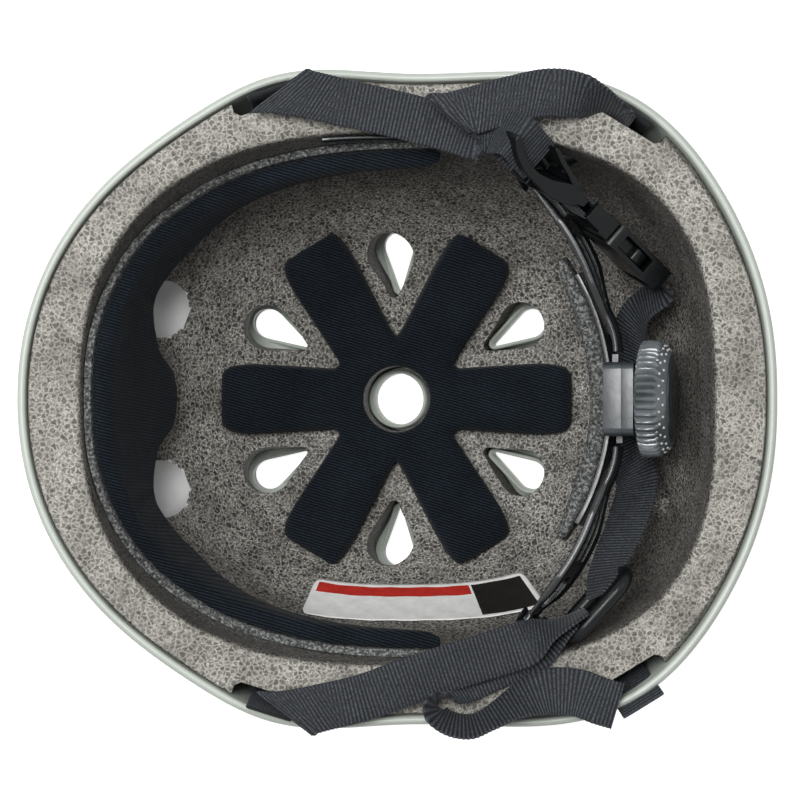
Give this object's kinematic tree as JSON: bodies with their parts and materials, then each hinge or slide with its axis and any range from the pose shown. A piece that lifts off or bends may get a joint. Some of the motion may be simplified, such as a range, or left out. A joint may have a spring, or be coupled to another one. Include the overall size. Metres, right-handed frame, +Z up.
{
  "type": "hard-shell sport helmet",
  "caption": "Hard-shell helmet lying on its crown, with foam liner, crown and brow pads, dial-adjusted nape cradle and buckled chin straps.",
  "frame": {"origin": "on the floor under the middle of the shell, with the helmet lying on its crown", "axes": "+X to the rear of the helmet, +Y to the wearer's left, +Z up towards the rim"},
  "size_m": [0.271, 0.236, 0.1644],
  "materials": {
    "shell": "gloss",
    "liner": "matte",
    "pad_fabric": "matte",
    "pad_foam": "matte",
    "webbing": "matte",
    "hooks": "matte",
    "moulded_black": "gloss",
    "smoke": "gloss",
    "label": "satin",
    "steel": "satin"
  },
  "bodies": {
    "helmet": {"outer_shell": "shell", "liner_crown": "liner", "liner_front_left": "liner", "liner_front_right": "liner", "liner_rear_left": "liner", "liner_rear_right": "liner", "crown_pad": "pad_fabric", "crown_pad_hooks": "hooks", "brow_pad": "pad_fabric", "brow_pad_foam": "pad_foam", "brow_pad_hooks": "hooks", "front_band_end": "moulded_black", "blank_sticker": "label", "strap_front_left": "webbing", "strap_rear_left": "webbing", "strap_front_right": "webbing", "strap_rear_right": "webbing", "strap_rivets": "steel", "strap_divider_right": "moulded_black", "chin_webbing": "webbing", "buckle_socket": "moulded_black", "arm_anchors": "moulded_black", "arm_pins": "moulded_black"},
    "carriage": {"housing_front": "smoke", "housing_back": "smoke", "housing_screws": "steel", "nape_band": "moulded_black", "nape_pad": "pad_foam"},
    "dial": {"pinion_shaft": "steel", "ratchet_spring": "steel", "dial_knob": "smoke", "dial_cap": "smoke", "dial_screw": "steel"},
    "left_rack": {"rack_left": "moulded_black"},
    "right_rack": {"rack_right": "moulded_black"},
    "left_arm": {"arm_left": "moulded_black"},
    "right_arm": {"arm_right": "moulded_black"},
    "plug": {"buckle_plug": "moulded_black", "strap_divider_left": "moulded_black", "chin_webbing_short": "webbing"},
    "upper_prong": {"prong_upper": "moulded_black"},
    "lower_prong": {"prong_lower": "moulded_black"}
  },
  "joints": [
    {"name": "housing_slide", "type": "slide", "parent": "helmet", "child": "carriage", "axis": [-1, 0, 0], "range_m": [-0.0015, 0.014]},
    {"name": "dial_spin", "type": "hinge", "parent": "carriage", "child": "dial", "pos_m": [0.09, 0, 0.124], "axis": [0.9659, 0, 0.2588], "range_deg": [-9, 84.2]},
    {"name": "rack_left_slide", "type": "slide", "parent": "carriage", "child": "left_rack", "axis": [0, -1, 0], "range_m": [-0.00063, 0.00588]},
    {"name": "rack_right_slide", "type": "slide", "parent": "carriage", "child": "right_rack", "axis": [0, 1, 0], "range_m": [-0.00063, 0.00588]},
    {"name": "arm_left_swing", "type": "hinge", "parent": "left_rack", "child": "left_arm", "pos_m": [0.08179, 0.0165, 0.1218], "axis": [0, 0, 1], "range_deg": [-11.9, 1.3]},
    {"name": "arm_right_swing", "type": "hinge", "parent": "right_rack", "child": "right_arm", "pos_m": [0.08179, -0.0165, 0.1218], "axis": [0, 0, 1], "range_deg": [-1.3, 11.9]},
    {"name": "buckle_slide", "type": "slide", "parent": "helmet", "child": "plug", "axis": [-0.6633, 0.5766, 0.4772], "range_m": [0, 0.018], "deforming": ["strap_front_left", "strap_rear_left"]},
    {"name": "prong_upper_bend", "type": "hinge", "parent": "plug", "child": "upper_prong", "pos_m": [0.07641, 0.06085, 0.13941], "axis": [0.6561, 0.7547, 0], "range_deg": [0, 10.9]},
    {"name": "prong_lower_bend", "type": "hinge", "parent": "plug", "child": "lower_prong", "pos_m": [0.071, 0.06555, 0.12623], "axis": [-0.6561, -0.7547, 0], "range_deg": [0, 10.9]}
  ],
  "couplings": [
    {"joint": "housing_slide", "follows": "dial_spin", "m_per_rad": 0.009524},
    {"joint": "rack_left_slide", "follows": "dial_spin", "m_per_rad": 0.004},
    {"joint": "rack_right_slide", "follows": "dial_spin", "m_per_rad": 0.004},
    {"joint": "arm_left_swing", "follows": "dial_spin", "ratio": -0.141},
    {"joint": "arm_right_swing", "follows": "dial_spin", "ratio": 0.141},
    {"joint": "prong_upper_bend", "follows": "buckle_slide", "rad_per_m": 10.5},
    {"joint": "prong_lower_bend", "follows": "buckle_slide", "rad_per_m": 10.5}
  ]
}
